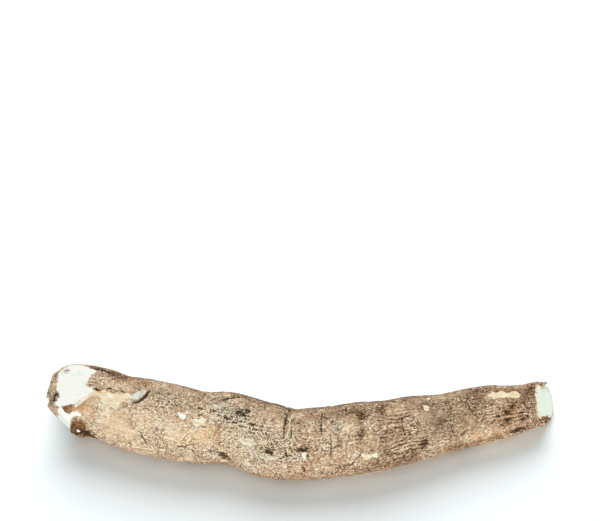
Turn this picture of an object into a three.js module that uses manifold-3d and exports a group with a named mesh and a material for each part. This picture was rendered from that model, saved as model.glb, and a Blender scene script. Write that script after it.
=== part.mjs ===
// A cassava root as dug and trimmed: one grown solid, lying on its side.
// Millimetres. The root runs along X, Z = 0 is the table that it rests on, and
// +Y is the hollow side of its gentle bend. The stem end, where it was hacked
// off the plant, is at -X, and the thinner tail, cut straight, is at +X.

import * as THREE from "three";
import { mergeVertices } from "three/addons/utils/BufferGeometryUtils.js";
import Module from "manifold-3d";

const wasm = await Module();
wasm.setup();

// Driving dimensions -------------------------------------------------------

const SIDES = 44; // corners of each ring around the root
const RING_STEP = 5.2; // usual distance between two rings
const FINE_STEP = 1.1; // distance between rings at the sharp crease
const FINE_REACH = 7; // how far from the crease the rings stay close
const OVAL = 0.025; // how much wider than tall a section is, as a share
const TAIL_CORNERS = 0.05; // how far the tail's section is from round to square
const TAIL_FROM = 125; // where along X the tail begins to turn square
const TAIL_TO = 168;
const TAIL_TURN = 75; // angle of one of its four soft corners
const NOSE = 23.5; // length of the rounded stem end past the first station
const NOSE_RINGS = 8;
const COARSE = 400; // edge of the blocks that cut the ends

// The middle line from stem end to tail: x and y place it in plan, girth is the
// mean radius there, and lift is how far its underside clears the table. Where
// lift is below zero the root rests, pressed flat by its own weight.
const STATIONS = [
  { x: -154, y: 18.7, girth: 24.2, lift: 1.8 },
  { x: -140, y: 17.0, girth: 24.2, lift: 1.0 },
  { x: -126, y: 11.0, girth: 24.4, lift: 0.2 },
  { x: -104, y: 5.5, girth: 25.4, lift: -0.6 },
  { x: -82, y: 0.3, girth: 24.8, lift: 0.2 },
  { x: -68, y: -2.8, girth: 24.0, lift: 0.9 },
  { x: -50, y: -3.4, girth: 24.3, lift: 1.0 },
  { x: -38, y: -6.2, girth: 24.0, lift: 0.6 },
  { x: -25, y: -11.3, girth: 24.8, lift: -0.2 },
  { x: -14, y: -13.4, girth: 24.4, lift: -0.6 },
  { x: -4, y: -14.7, girth: 23.3, lift: -0.6 },
  { x: 6, y: -14.5, girth: 23.8, lift: -0.6 },
  { x: 22, y: -13.0, girth: 23.7, lift: -0.2 },
  { x: 40, y: -10.6, girth: 24.0, lift: 0.6 },
  { x: 60, y: -7.4, girth: 22.7, lift: 1.2 },
  { x: 82, y: -1.4, girth: 21.5, lift: 1.2 },
  { x: 104, y: 4.2, girth: 19.8, lift: 0.6 },
  { x: 127, y: 11.0, girth: 19.5, lift: -0.5 },
  { x: 142, y: 13.6, girth: 18.6, lift: -0.5 },
  { x: 155, y: 17.8, girth: 16.3, lift: 0.4 },
  { x: 168, y: 21.4, girth: 14.0, lift: 1.4 },
  { x: 190, y: 24.0, girth: 12.8, lift: 2.0 },
];

// Swellings and hollows of the skin. The angle goes round the root in degrees,
// from 0 at the hollow side, over 90 on top, to 180 at the bulging side.
const SWELLINGS = [
  { x: -2, angle: 60, rise: -1.5, along: 8, around: 46 }, // waist, hollow side
  { x: -148, angle: 205, rise: 1.6, along: 6, around: 28 }, // knuckle by the nose
  { x: -133, angle: 205, rise: -1.4, along: 7, around: 34 },
  { x: -10, angle: 190, rise: 0.8, along: 16, around: 40 },
  { x: -30, angle: 95, rise: 1.0, along: 12, around: 34 },
  { x: -62, angle: 110, rise: -0.9, along: 12, around: 40 },
  { x: -95, angle: 130, rise: 0.9, along: 20, around: 46 },
  { x: -128, angle: 80, rise: -0.8, along: 10, around: 34 },
  { x: 30, angle: 130, rise: 0.7, along: 16, around: 36 },
  { x: 72, angle: 75, rise: 0.8, along: 14, around: 40 },
  { x: 112, angle: 140, rise: -0.9, along: 12, around: 44 },
  { x: -70, angle: -20, rise: 0.9, along: 18, around: 40 },
  { x: 24, angle: -25, rise: 1.1, along: 20, around: 36 },
  { x: 90, angle: -10, rise: -0.8, along: 14, around: 40 },
];

// The sharp crease where the skin folds over the waist. It leans along the
// root as it comes over the top, and fades out at both of its ends.
const CREASE = { x: -6, lean: -0.06, depth: 1.5, width: 1.3, middle: 55, reach: 62 };

// Knife cuts. Each removes what lies past a plane: through is a point on it and
// away is the direction that it faces.
const CUTS = [
  { through: [-143, 9.5, 46.5], away: [-0.26, 0.08, 0.96] }, // slice off the shoulder
  { through: [-166.2, 15, 40.5], away: [-0.9, 0.03, 0.38] }, // old weathered break
  { through: [-160.4, -1.5, 37.6], away: [-0.7, -0.69, -0.16] }, // nick under the nose
  { through: [164.5, 17, 28], away: [0.86, -0.16, 0.48] }, // straight cut at the tail
];

// Shape of the root ----------------------------------------------------------

const radians = THREE.MathUtils.degToRad;
const bell = (distance, reach) => Math.exp(-((distance / reach) ** 2));
const height = (s) => s.girth * (1 - OVAL) + s.lift;
const centres = STATIONS.map((s) => new THREE.Vector3(s.x, s.y, height(s)));
const middleLine = new THREE.CatmullRomCurve3(centres, false, "catmullrom", 0.5);
const sizes = STATIONS.map((s) => new THREE.Vector3(s.x, s.girth, s.lift));
const sizeLine = new THREE.CatmullRomCurve3(sizes, false, "catmullrom", 0.5);

// The smaller turn from one angle to another, in degrees.
function turn(from, to) {
  return Math.abs(((((to - from) % 360) + 540) % 360) - 180);
}

function swelling(x, angle) {
  let rise = 0;
  for (const s of SWELLINGS) {
    rise += s.rise * bell(x - s.x, s.along) * bell(turn(angle, s.angle), s.around);
  }
  return rise;
}

function crease(x, angle) {
  const offset = turn(angle, CREASE.middle);
  const fade = THREE.MathUtils.smoothstep(CREASE.reach - offset, 0, CREASE.reach / 2);
  const line = CREASE.x + CREASE.lean * (angle - CREASE.middle);
  return CREASE.depth * fade * bell(x - line, CREASE.width);
}

// The soft square shape of the tail's section.
function corners(x, angle) {
  const share = THREE.MathUtils.smoothstep(x, TAIL_FROM, TAIL_TO);
  return TAIL_CORNERS * share * Math.cos(4 * radians(angle - TAIL_TURN));
}

// Point of the skin at t along the middle line, for the angle around it.
function skin(t, angle) {
  const centre = middleLine.getPoint(t);
  const ahead = middleLine.getTangent(t);
  const side = new THREE.Vector3(-ahead.y, ahead.x, 0).normalize();
  const girth = sizeLine.getPoint(t).y;
  const wide = 1 + OVAL * Math.cos(2 * radians(angle)) + corners(centre.x, angle);
  const radius = girth * wide + swelling(centre.x, angle) - crease(centre.x, angle);
  const point = centre.clone();
  point.addScaledVector(side, radius * Math.cos(radians(angle)));
  point.z += radius * Math.sin(radians(angle));
  return point;
}

// The steps along the middle line where rings stand, from 0 to 1.
function ringSteps() {
  const steps = [];
  const samples = middleLine.getPoints(2000);
  let gone = Infinity;
  samples.forEach((point, i) => {
    gone += i ? point.distanceTo(samples[i - 1]) : 0;
    const close = bell(point.x - CREASE.x, FINE_REACH);
    if (gone >= THREE.MathUtils.lerp(RING_STEP, FINE_STEP, close)) {
      steps.push(i / 2000);
      gone = 0;
    }
  });
  return steps;
}

function ring(pointAt) {
  const ringPoints = [];
  for (let k = 0; k < SIDES; k += 1) {
    const point = pointAt((360 * k) / SIDES);
    point.z = Math.max(point.z, 0);
    ringPoints.push(point);
  }
  return ringPoints;
}

// The rounded stem end: the first ring, drawn in towards its pole.
function noseRing(share) {
  const ahead = middleLine.getTangent(0);
  const pole = centres[0].clone().addScaledVector(ahead, -NOSE * Math.sin(share));
  return ring((angle) => {
    const rim = skin(0, angle).sub(centres[0]);
    return pole.clone().addScaledVector(rim, Math.cos(share));
  });
}

// A closed surface over the rings, with a point at each end.
function loft(rings, firstPole, lastPole) {
  const points = [firstPole, ...rings.flat(), lastPole];
  const last = points.length - 1;
  const corner = (r, k) => 1 + r * SIDES + (k % SIDES);
  const faces = [];
  for (let k = 0; k < SIDES; k += 1) {
    faces.push(0, corner(0, k + 1), corner(0, k));
    faces.push(last, corner(rings.length - 1, k), corner(rings.length - 1, k + 1));
    for (let r = 1; r < rings.length; r += 1) {
      faces.push(corner(r - 1, k), corner(r, k + 1), corner(r, k));
      faces.push(corner(r - 1, k), corner(r - 1, k + 1), corner(r, k + 1));
    }
  }
  const geometry = new THREE.BufferGeometry().setFromPoints(points);
  geometry.setIndex(faces);
  return geometry;
}

function rootBody() {
  const ahead = middleLine.getTangent(0);
  const pole = centres[0].clone().addScaledVector(ahead, -NOSE);
  const rings = [];
  for (let n = NOSE_RINGS - 1; n > 0; n -= 1) {
    rings.push(noseRing((n / NOSE_RINGS) * (Math.PI / 2)));
  }
  for (const t of ringSteps()) {
    rings.push(ring((angle) => skin(t, angle)));
  }
  return loft(rings, pole, centres[centres.length - 1]);
}

// Cutting --------------------------------------------------------------------

function toSolid(geometry) {
  const bare = geometry.clone();
  bare.deleteAttribute("normal");
  bare.deleteAttribute("uv");
  const merged = mergeVertices(bare);
  const vertProperties = new Float32Array(merged.attributes.position.array);
  const triVerts = new Uint32Array(merged.index.array);
  return new wasm.Manifold(new wasm.Mesh({ numProp: 3, vertProperties, triVerts }));
}

function toGeometry(solid) {
  const mesh = solid.getMesh();
  const geometry = new THREE.BufferGeometry();
  geometry.setAttribute("position", new THREE.BufferAttribute(mesh.vertProperties, 3));
  geometry.setIndex(new THREE.BufferAttribute(mesh.triVerts, 1));
  geometry.computeVertexNormals();
  return geometry;
}

// A block whose near face is the plane of the cut.
function cutBlock({ through, away }) {
  const facing = new THREE.Vector3(...away).normalize();
  const block = new THREE.BoxGeometry(COARSE, COARSE, COARSE);
  block.translate(0, 0, COARSE / 2);
  const turned = new THREE.Quaternion().setFromUnitVectors(new THREE.Vector3(0, 0, 1), facing);
  block.applyQuaternion(turned);
  block.translate(...through);
  return toSolid(block);
}

function trimmedRoot() {
  let solid = toSolid(rootBody());
  for (const cut of CUTS) {
    solid = solid.subtract(cutBlock(cut));
  }
  return toGeometry(solid);
}

// Moves the root so that the middle of its outline in plan is the origin.
function centred(geometry) {
  geometry.computeBoundingBox();
  const middle = geometry.boundingBox.getCenter(new THREE.Vector3());
  return geometry.translate(-middle.x, -middle.y, 0);
}

// The part -------------------------------------------------------------------

const bark = new THREE.MeshStandardMaterial({ color: 0xa98f72, roughness: 0.85, metalness: 0 });
const root = new THREE.Mesh(centred(trimmedRoot()), bark);
root.name = "cassava_root";

const part = new THREE.Group();
part.add(root);

export default part;
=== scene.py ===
"""A cassava root lying on a pale table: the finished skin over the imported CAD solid."""
import math
import random

import bpy
import numpy as np
from mathutils import Matrix, Vector, noise
from mathutils.bvhtree import BVHTree
from mathutils.kdtree import KDTree


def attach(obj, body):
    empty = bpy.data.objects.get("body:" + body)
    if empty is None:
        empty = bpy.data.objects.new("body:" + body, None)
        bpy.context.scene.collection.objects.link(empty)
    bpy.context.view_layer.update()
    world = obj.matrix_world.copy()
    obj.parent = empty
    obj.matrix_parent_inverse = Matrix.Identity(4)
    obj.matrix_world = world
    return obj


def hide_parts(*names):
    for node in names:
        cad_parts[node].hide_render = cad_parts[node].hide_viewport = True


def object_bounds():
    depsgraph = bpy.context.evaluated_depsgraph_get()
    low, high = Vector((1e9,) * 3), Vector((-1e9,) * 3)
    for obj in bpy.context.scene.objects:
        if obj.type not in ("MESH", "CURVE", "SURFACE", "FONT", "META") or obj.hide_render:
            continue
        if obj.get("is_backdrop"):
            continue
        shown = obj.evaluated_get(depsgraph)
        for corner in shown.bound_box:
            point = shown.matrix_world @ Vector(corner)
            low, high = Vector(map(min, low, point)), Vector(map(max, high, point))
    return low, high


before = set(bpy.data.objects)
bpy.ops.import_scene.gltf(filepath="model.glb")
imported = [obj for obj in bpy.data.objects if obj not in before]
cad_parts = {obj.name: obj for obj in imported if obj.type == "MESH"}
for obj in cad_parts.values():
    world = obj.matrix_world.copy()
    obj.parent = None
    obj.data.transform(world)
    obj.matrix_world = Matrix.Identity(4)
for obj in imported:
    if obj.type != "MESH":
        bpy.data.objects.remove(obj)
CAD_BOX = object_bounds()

MM = 0.001

# Camera, as the root is seen from above its bulging side
VIEW_ELEVATION = 60.0  # of the line from the root to the camera, degrees
CAMERA_DISTANCE = 0.976  # metres
LENS = 85.0  # mm on a 36 mm sensor
AIM = (-2.4, -2.04, 25.0)  # mm, the point that the camera goes round
AIM_ABOVE = 6.56  # degrees that the camera looks past the root, so it sits low

# The middle line of the solid
LINE_STEP = 2.0  # mm between its points
LINE_WINDOW = 6.0  # mm to each side of a point that count for it
LINE_BLUR = 4.0  # points
LINE_STARTS, LINE_ENDS = 8.0, 6.0  # mm inside the solid's ends

# The grid that the skin is made of
STEP = 0.92  # mm between rings
SIDES = 220
SIDE_STEP = 0.72  # mm between columns, about
FAN_REACH = 25.0  # mm from each end of the solid where rings turn into a fan
FAN_RADIUS = 22.0  # mm from the end of the middle line to the skin, about
LEFT_FAN_ROWS = 52
RIGHT_FAN_ROWS = 44
SMOOTH = 2.0  # mm over which the solid's facets are smoothed away
AHEAD_BLUR = 6.0  # rings
FAR = 1e3  # mm, past everything
OUTSIDE = -30.0  # mm, well outside any outline
FADING, LACUNARITY = 0.9, 2.1  # of each octave of noise against the one before

# Corners of the areas that the skin and the flake take in the flat map
MAP_BANDS = [((0.01, 0.01), (0.93, 0.99)), ((0.95, 0.4), (0.99, 0.6))]


# ------------------------------ helpers

def blur(field, rows, columns=0.0):
    """Gaussian blur of a rows x columns field; the columns run round the root."""
    for axis, sigma, mode in ((0, rows, "edge"), (1, columns, "wrap")):
        if not sigma:
            continue
        reach = max(1, math.ceil(3 * sigma))
        pads = [(0, 0)] * field.ndim
        pads[axis] = (reach, reach)
        padded = np.pad(field, pads, mode=mode)
        total = np.zeros_like(field)
        weights = 0.0
        for k in range(-reach, reach + 1):
            weight = math.exp(-0.5 * (k / sigma) ** 2)
            cut = [slice(None)] * field.ndim
            cut[axis] = slice(reach + k, reach + k + field.shape[axis])
            total += weight * padded[tuple(cut)]
            weights += weight
        field = total / weights
    return field


def smoothstep(low, high, value):
    """0 at low, 1 at high and soft in between; low may be the larger."""
    share = np.clip((value - low) / (high - low), 0.0, 1.0)
    return share * share * (3 - 2 * share)


# ------------------------------ the CAD solid's shape

def solid_triangles(node):
    """The CAD node's corner points, in mm, and its triangles."""
    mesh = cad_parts[node].data
    mesh.calc_loop_triangles()
    points = np.array([v.co for v in mesh.vertices]) / MM
    triangles = np.array([t.vertices for t in mesh.loop_triangles])
    return points, triangles


def middle_line(points):
    """Points down the middle of the solid, evenly spaced in X."""
    low, high = points[:, 0].min(), points[:, 0].max()
    middles = []
    for x in np.arange(low + LINE_STARTS, high - LINE_ENDS, LINE_STEP):
        near = points[abs(points[:, 0] - x) < LINE_WINDOW]
        middle = (near.min(0) + near.max(0)) / 2
        middles.append([x, middle[1], middle[2]])
    middles = np.array(middles)
    return np.column_stack([middles[:, 0], blur(middles[:, 1:], LINE_BLUR)])


def cut_planes(points, triangles):
    """The flat cuts at the ends, as named (normal, offset), read from the solid.

    A cut is flat over more than least_area; the flat belly, at offset 0, is none.
    """
    least_area, least_facet = 60, 3  # mm2
    same_turn, same_offset = 0.99998, 0.05  # cosine and mm
    corners = points[triangles]
    normals = np.cross(corners[:, 1] - corners[:, 0], corners[:, 2] - corners[:, 0])
    lengths = np.linalg.norm(normals, axis=1)
    areas = lengths / 2
    normals = normals / np.maximum(lengths, 1e-9)[:, None]
    offsets = (normals * corners[:, 0]).sum(1)
    planes = []
    left = areas > 1e-3
    while left.any() and areas[left].max() >= least_facet:
        k = int(np.argmax(np.where(left, areas, 0)))
        same = left & (normals @ normals[k] > same_turn) & (abs(offsets - offsets[k]) < same_offset)
        if areas[same].sum() > least_area and abs(offsets[k]) > 1:
            planes.append((normals[k], offsets[k]))
        left &= ~same
    return {
        "tail": max(planes, key=lambda plane: plane[0][0]),
        "slice": max(planes, key=lambda plane: plane[0][2]),
        "nick": min(planes, key=lambda plane: plane[0][1]),
        "break": min(planes, key=lambda plane: plane[0][0]),
    }


# ------------------------------ the skin's grid

class Skin:
    """A grid of points over the root: rows run along it and columns round it.

    Column angles start below, at -90 degrees, pass the hollow side at 0, the top
    at 90 and the bulging side at 180. Each end is closed by a fan of rows that
    swing round to one pole point.
    """

    def __init__(self, node):
        points, triangles = solid_triangles(node)
        self.line = middle_line(points)
        self.planes = cut_planes(points, triangles)
        self.tree = BVHTree.FromPolygons([Vector(p) for p in points], triangles.tolist())
        self.angles = np.linspace(-90, 270, SIDES, endpoint=False)
        self.lay_rows(points[:, 0].min(), points[:, 0].max())
        self.cast()
        self.smooth_body()
        self.measure()

    def lay_rows(self, low, high):
        """Centre, swing and travelled length of each row."""
        keep = (self.line[:, 0] > low + FAN_REACH) & (self.line[:, 0] < high - FAN_REACH)
        line = self.line[keep]
        gone = np.r_[0, np.cumsum(np.linalg.norm(np.diff(line, axis=0), axis=1))]
        steps = np.arange(0, gone[-1], STEP)
        body = np.column_stack([np.interp(steps, gone, line[:, k]) for k in range(3)])
        ahead = np.gradient(blur(body, AHEAD_BLUR), axis=0)
        ahead /= np.linalg.norm(ahead, axis=1)[:, None]
        left = np.linspace(90, 0, LEFT_FAN_ROWS, endpoint=False)
        right = np.linspace(0, 90, RIGHT_FAN_ROWS + 1)[1:]
        copies = np.r_[len(left) + 1, np.ones(len(steps) - 2, int), len(right) + 1]
        self.swing = np.radians(np.r_[-left, np.zeros(len(steps)), right])
        self.centres, self.ahead = np.repeat(body, copies, 0), np.repeat(ahead, copies, 0)
        self.along = np.r_[-FAN_RADIUS * np.radians(left), steps,
                           steps[-1] + FAN_RADIUS * np.radians(right)]

    def cast(self):
        """Where each row and column meets the solid, seen from inside."""
        side = np.column_stack([-self.ahead[:, 1], self.ahead[:, 0], 0 * self.swing])
        side /= np.linalg.norm(side, axis=1)[:, None]
        turn = np.radians(self.angles)
        out = side[:, None] * np.cos(turn)[None, :, None]
        out = out + np.array([0, 0, 1.0]) * np.sin(turn)[None, :, None]
        self.rays = (out * np.cos(self.swing)[:, None, None]
                     + (self.ahead * np.sin(self.swing)[:, None])[:, None])
        self.rays /= np.linalg.norm(self.rays, axis=2)[..., None]
        self.reach = np.zeros(self.rays.shape[:2])
        self.on_bark = np.ones(self.rays.shape[:2], bool)
        planes = [(Vector(normal), offset) for normal, offset in self.planes.values()]
        same_turn, same_offset = 0.9998, 0.1  # cosine and mm
        for i, k in np.ndindex(self.reach.shape):
            hit, facing, _, distance = self.tree.ray_cast(Vector(self.centres[i]), Vector(self.rays[i, k]))
            self.reach[i, k] = distance
            self.on_bark[i, k] = not any(
                facing.dot(normal) > same_turn and abs(hit.dot(normal) - offset) < same_offset
                for normal, offset in planes)

    def smooth_body(self):
        """Rounds the solid's facets off, but keeps the cut planes flat and their rims sharp."""
        least_share, least_facing = 0.02, 0.05
        rows, columns = SMOOTH / STEP, SMOOTH / SIDE_STEP
        weight = self.on_bark.astype(float)
        total = blur(self.reach * weight, rows, columns)
        share = blur(weight, rows, columns)
        self.body_reach = np.where(share > least_share, total / np.maximum(share, least_share), FAR)
        self.reach = self.body_reach
        self.cut_name = np.full(self.reach.shape, "", object)
        for name, (normal, offset) in self.planes.items():
            facing = self.rays @ normal
            gap = offset - self.centres @ normal
            to_plane = gap[:, None] / np.maximum(facing, least_facing)
            to_plane = np.where(facing > least_facing, to_plane, FAR)
            self.cut_name[to_plane < self.reach] = name
            self.reach = np.minimum(self.reach, to_plane)
        self.points = self.centres[:, None] + self.rays * self.reach[..., None]

    def measure(self):
        """Outward normals and the straightened grain coordinates, in mm."""
        self.normals = grid_normals(self.points)
        turn = np.radians(self.angles)
        round_reach = self.reach * np.cos(self.swing)[:, None]
        along = self.along[:, None] + 0 * round_reach
        self.grain = np.stack(
            [along, round_reach * np.cos(turn), round_reach * np.sin(turn)], axis=2)


def grid_normals(points):
    """Unit outward normals of a grid whose columns close on themselves."""
    along = np.gradient(points, axis=0)
    around = (np.roll(points, -1, axis=1) - np.roll(points, 1, axis=1)) / 2
    normals = np.cross(around, along)
    length = np.linalg.norm(normals, axis=2)[..., None]
    return normals / np.maximum(length, 1e-9)


def grid_noise(grain, scale, octaves=1, seed=0.0, across=None):
    """Noise from about -1 to 1 at the grain coordinates, at the given features per mm."""
    across = across or scale
    spots = grain * np.array([scale, across, across]) + np.array([seed, 2.3 * seed, 5.1 * seed])
    flat = spots.reshape(-1, 3).tolist()
    if octaves == 1:
        values = [noise.noise(p) for p in flat]
    else:
        values = [noise.fractal(p, FADING, LACUNARITY, octaves) for p in flat]
    return np.array(values).reshape(grain.shape[:2])


def poled(values):
    """A grid's values in one list; its first and last row become one value each, at the end."""
    return np.vstack([values[1:-1].reshape(-1, 3), values[0].mean(0), values[-1].mean(0)])


def closed_faces(rows, columns):
    """Faces of a grid of so many rows and columns, closed by one pole before and one after it.

    Each comes as the corners' numbers in the order that poled gives, and the flat places,
    from 0 to 1 round and along the grid.
    """
    def faces(face_rows, face_columns):
        numbers = face_rows * columns + np.floor(face_columns).astype(int) % columns
        numbers = np.where(face_rows < 0, rows * columns, numbers)
        numbers = np.where(face_rows == rows, rows * columns + 1, numbers)
        spots = np.stack([face_columns / columns, (face_rows + 1) / (rows + 1)], axis=2)
        return numbers.tolist(), spots.reshape(-1, 2)

    row, col = (side.reshape(-1, 1) for side in np.indices((rows - 1, columns)))
    quads = faces(row + np.array([0, 0, 1, 1]), col + np.array([0, 1, 1, 0]))
    col = np.arange(columns)[:, None]
    first = faces(0 * col + np.array([-1, 0, 0]), col + np.array([0.5, 1, 0]))
    last = faces(0 * col + rows - np.array([0, 1, 1]), col + np.array([0.5, 0, 1]))
    return quads[0] + first[0] + last[0], np.vstack([quads[1], first[1], last[1]])


def grids_mesh(name, grids):
    """One mesh of several closed grids, each given as (points in mm, layers)."""
    corners, faces, flat_spots, layers = [], [], [], {}
    start = 0
    for (points, point_layers), (low, high) in zip(grids, MAP_BANDS):
        grid_faces, spots = closed_faces(points.shape[0] - 2, points.shape[1])
        corners.append(poled(points))
        faces += [[start + k for k in face] for face in grid_faces]
        flat_spots.append(spots * (high[0] - low[0], high[1] - low[1]) + low)
        start += len(corners[-1])
        for label, values in point_layers.items():
            layers.setdefault(label, []).append(poled(values))
    mesh = bpy.data.meshes.new(name)
    mesh.from_pydata((np.vstack(corners) * MM).tolist(), [], faces)
    mesh.polygons.foreach_set("use_smooth", [True] * len(mesh.polygons))
    for label, parts in layers.items():
        layer = mesh.attributes.new(label, "FLOAT_VECTOR", "POINT")
        layer.data.foreach_set("vector", np.vstack(parts).ravel())
    flat = mesh.uv_layers.new(name="OFBake")
    flat.data.foreach_set("uv", np.vstack(flat_spots).ravel())
    mesh.update()
    return mesh


# ------------------------------ what is drawn on the skin, in mm
#
# A place is (x, bearing): mm along the frame's X, and degrees round the middle
# line from the hollow side (0) over the top (90) to the bulging side (180).

# Where the outer peel is rubbed off down to the cream inner bark
CREAM_PATCHES = [  # outline, how pale
    ([(-139, 104), (-137, 98), (-134, 92), (-129.5, 92), (-124, 88), (-118, 87), (-114, 94),
      (-119, 102), (-122, 102), (-124, 107), (-126, 116), (-130.5, 113), (-134.5, 113), (-137, 110)], 0.15),
    ([(-147.5, 107), (-145.5, 100), (-142, 96), (-137, 93), (-134, 92), (-136, 101), (-139, 106),
      (-143, 107), (-145, 110)], 0.0),
    ([(-75.5, 111), (-72.5, 109), (-70, 110), (-68, 105), (-64, 106), (-65, 112), (-68, 116),
      (-71.5, 123), (-74, 118)], 0.75),
    ([(-45, 134), (-41.5, 129.5), (-37, 126), (-33, 125), (-32, 132), (-36, 137.5), (-41, 138)], 1.0),
    ([(-30.5, 130), (-29, 124), (-27, 125), (-24.3, 121), (-24.3, 128), (-27.5, 131)], 0.5),
    ([(-1.5, 136), (2, 134), (1.5, 149), (-0.5, 147)], 1.0),
    ([(38.3, 145), (40.8, 148), (42.8, 145.5), (44.8, 149), (49.3, 145), (49, 157), (45.5, 154),
      (43.5, 158), (40, 155)], 0.6),
    ([(80.5, 73), (83, 73), (85, 79), (84, 89), (82, 87), (80.8, 82)], 0.5),
    ([(83.5, 54), (86.5, 48), (85.4, 57)], 0.8),
    ([(125, 76), (129.5, 66), (132, 71), (136, 67), (140.5, 75), (143, 70), (147, 68), (149.5, 86),
      (147, 91), (140, 87), (134, 85), (130, 88)], 0.35),
    ([(131.5, 50), (136, 46), (140.5, 47), (139, 53), (134.5, 53)], 0.4),
    ([(-57, 181), (-53, 178), (-51.5, 183)], 0.9),
]
WHITE_CHIPS = [
    [(-84.6, 104), (-81.5, 103), (-78.3, 106), (-78.6, 111), (-80.5, 114), (-83.2, 111)],
    [(-134, 97), (-131, 94.5), (-128, 98), (-131, 100)],
    [(-1.5, 136), (0.5, 135.5), (0.5, 146), (-1, 144)],
    [(-154.4, 168), (-152.8, 167), (-151.6, 172), (-152.6, 175), (-154, 172.5)],
]
CREAM_STREAKS = [  # path, width
    ([(-116, 176), (-108, 173), (-101, 172)], 1.3),
    ([(-98, 170.5), (-93, 169)], 1.2),
    ([(-28.5, 150), (-24.5, 151), (-20, 149.5)], 1.7),
    ([(48, 188), (54, 184)], 1.0),
    ([(-6, 118), (-5.5, 128)], 0.8),
    ([(-106.5, 94), (-105, 90.5), (-103, 90.5)], 0.8),
    ([(-102, 91), (-100, 94)], 0.8),
    ([(-8.9, 70), (-9.2, 84), (-10.2, 101), (-10.6, 112)], 1.0),
    ([(-137, 110), (-134, 113.5), (-130, 114), (-126, 117), (-124, 108)], 1.2),
    ([(-138, 97), (-134.5, 91.5), (-131, 92)], 0.8),
    ([(-121, 88), (-117.5, 87), (-114, 94), (-117, 100)], 1.5),
]

# Splits in the peel: path, width, depth
CRACKS = [
    ([(-8.5, 35), (-10.5, 55), (-11.7, 76), (-12.6, 92), (-13, 105), (-13.6, 116)], 0.7, 0.9),
    ([(-8, 90), (-8, 101), (-9, 115), (-9.6, 125), (-7.5, 135)], 0.6, 0.6),
    ([(-11, 136), (-13.5, 145), (-16.5, 151)], 0.55, 0.5),
    ([(-10.8, 136), (-11, 151), (-10, 169)], 0.5, 0.4),
    ([(12.6, 61), (11.6, 81), (11.8, 92), (11.5, 100), (11.2, 109)], 0.6, 0.5),
    ([(12.8, 74), (15.8, 76), (18.2, 76)], 0.5, 0.4),
    ([(18, 110), (18, 122), (18.3, 131), (18.3, 147)], 0.65, 0.6),
    ([(28.6, 50), (28.6, 77)], 0.55, 0.5),
    ([(19.5, 170), (24.5, 165), (31.5, 163), (34.6, 154), (37.6, 147), (40, 139)], 0.6, 0.6),
    ([(65.2, 89), (65.9, 103), (66.4, 115), (68.2, 128)], 0.65, 0.6),
    ([(96, 41), (98.2, 66), (99.7, 93), (99.3, 125), (100.8, 141)], 0.4, 0.4),
    ([(110, 70), (112.2, 92), (115, 113), (118.5, 121)], 0.4, 0.35),
    ([(-109.5, 142), (-108.5, 148), (-105, 165)], 0.5, 0.35),
    ([(-85, 159), (-80, 156), (-73.5, 149)], 0.6, 0.5),
    ([(-58, 69), (-53.7, 62), (-48, 56), (-39, 40), (-33, 31)], 1.0, 0.9),
    ([(-115, 101), (-111.7, 99), (-108, 91), (-106, 81), (-103.7, 69)], 1.4, 0.9),
    ([(-2, -70), (0, -40), (-4, -12), (-8, 20)], 0.7, 0.6),
]

# Raised folds: path, width, height
FOLDS = [
    ([(-69, 99), (-63.5, 88), (-57.7, 76), (-50, 66), (-40, 52)], 3.0, 0.7),
    ([(-15.5, 40), (-17, 80), (-17.5, 120)], 4.0, 0.3),
    ([(-4.6, 12), (-5, 45), (-5, 78)], 6.6, 1.3),
    ([(-9.5, 60), (-10, 95), (-10.5, 128)], 1.3, 0.5),
    ([(-80, 60), (-83, 74), (-80, 84), (-76, 76), (-78, 62)], 1.6, 0.35),
    ([(34, 200), (70, 215), (104, 208)], 3.0, 0.5),
    ([(-110, 210), (-80, 222), (-52, 214)], 3.0, 0.5),
    ([(-60, 5), (-30, -6), (4, 2)], 3.0, 0.5),
]

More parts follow.
